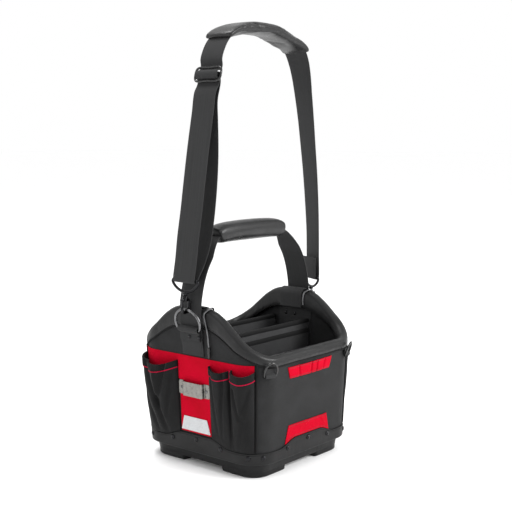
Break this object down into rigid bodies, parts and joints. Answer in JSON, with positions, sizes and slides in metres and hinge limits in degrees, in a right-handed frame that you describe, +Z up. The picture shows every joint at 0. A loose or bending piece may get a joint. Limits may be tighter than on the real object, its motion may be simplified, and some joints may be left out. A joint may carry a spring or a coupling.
{
  "type": "open top tool tote",
  "caption": "Open top fabric tool tote with a moulded base, padded rim, outer pockets, webbing handle and a clipped-on shoulder strap.",
  "frame": {"origin": "on the floor under the middle of the whole part's box, strap and hooks included", "axes": "+Z up; -Y is the front face with the two red patches; -X is the near pocket face with the tape measure clip; the handle and the shoulder strap run along X"},
  "size_m": [0.3796, 0.2992, 0.7741],
  "materials": {
    "base_plastic": "moulded, fine satin grain",
    "black_fabric": "coarse plain weave, matt",
    "padded_fabric": "coated fabric over foam, low sheen",
    "red_fabric": "coated weave, low sheen",
    "webbing": "ribbed woven webbing",
    "grip_leather": "coated grained fabric, soft sheen",
    "reflective_tape": "reflective tape, satin",
    "steel": "plated, satin",
    "dark_metal": "black plated, semi gloss",
    "clip_steel": "stamped sheet, satin",
    "black_plastic": "moulded, semi gloss"
  },
  "bodies": {
    "root": {"base_tray": "base_plastic", "body_shell": "black_fabric", "rim_padding": "padded_fabric", "near_red_panel": "red_fabric", "far_red_panel": "red_fabric", "near_reflective_patch": "reflective_tape", "far_reflective_patch": "reflective_tape", "near_pocket_large": "black_fabric", "near_pocket_double": "black_fabric", "far_pocket_large": "black_fabric", "far_pocket_double": "black_fabric", "front_patch_upper": "red_fabric", "front_patch_lower": "red_fabric", "tape_clip": "clip_steel", "clip_rivet_left": "dark_metal", "clip_rivet_right": "dark_metal", "handle_webbing": "webbing", "handle_grip": "grip_leather", "near_rim_wrap": "webbing", "far_rim_wrap": "webbing", "near_inner_patch": "webbing", "far_inner_patch": "webbing", "near_inner_rivet_first": "dark_metal", "near_inner_rivet_second": "dark_metal", "far_inner_rivet_first": "dark_metal", "far_inner_rivet_second": "dark_metal", "near_loop_rivet_first": "dark_metal", "near_loop_rivet_second": "dark_metal", "far_loop_rivet_first": "dark_metal", "far_loop_rivet_second": "dark_metal", "near_strap_ring": "steel", "far_strap_ring": "steel", "near_ring_loop": "webbing", "far_ring_loop": "webbing", "near_rim_wire": "steel", "far_rim_wire": "steel", "near_wire_sleeve": "black_plastic", "far_wire_sleeve": "black_plastic", "left_corner_tab": "webbing", "right_corner_tab": "webbing", "near_snap_eye": "dark_metal", "far_snap_eye": "dark_metal", "strap_near": "webbing", "strap_near_inner": "webbing", "strap_far": "webbing", "shoulder_pad": "grip_leather", "strap_adjuster": "black_plastic", "centre_divider": "padded_fabric", "back_divider": "padded_fabric", "divider_pocket": "black_fabric"},
    "hook_near": {"near_snap_body": "dark_metal"},
    "gate_near": {"near_snap_gate": "dark_metal"},
    "hook_far": {"far_snap_body": "dark_metal"},
    "gate_far": {"far_snap_gate": "dark_metal"},
    "corner_ring_left": {"left_corner_ring": "black_plastic"},
    "corner_ring_right": {"right_corner_ring": "black_plastic"}
  },
  "joints": [
    {"name": "near_hook_swivel", "type": "hinge", "parent": "root", "child": "hook_near", "pos_m": [-0.1795, 0.00402, 0.30913], "axis": [0, 0, 1], "range_deg": [-25, 25]},
    {"name": "near_gate", "type": "hinge", "parent": "hook_near", "child": "gate_near", "pos_m": [-0.187, 0.00402, 0.30063], "axis": [0, -1, 0], "range_deg": [0, 20], "stiffness_Nm_per_rad": 0.02},
    {"name": "far_hook_swivel", "type": "hinge", "parent": "root", "child": "hook_far", "pos_m": [0.17342, 0.00402, 0.27864], "axis": [0, 0, 1], "range_deg": [-25, 25]},
    {"name": "far_gate", "type": "hinge", "parent": "hook_far", "child": "gate_far", "pos_m": [0.18092, 0.00402, 0.27014], "axis": [0, 1, 0], "range_deg": [0, 20], "stiffness_Nm_per_rad": 0.02},
    {"name": "left_corner_ring_hinge", "type": "hinge", "parent": "root", "child": "corner_ring_left", "pos_m": [-0.12729, -0.13951, 0.181], "axis": [0.9381, -0.3463, 0], "range_deg": [-10, 150]},
    {"name": "right_corner_ring_hinge", "type": "hinge", "parent": "root", "child": "corner_ring_right", "pos_m": [0.09337, -0.13951, 0.181], "axis": [0.9381, 0.3463, 0], "range_deg": [-10, 150]}
  ]
}
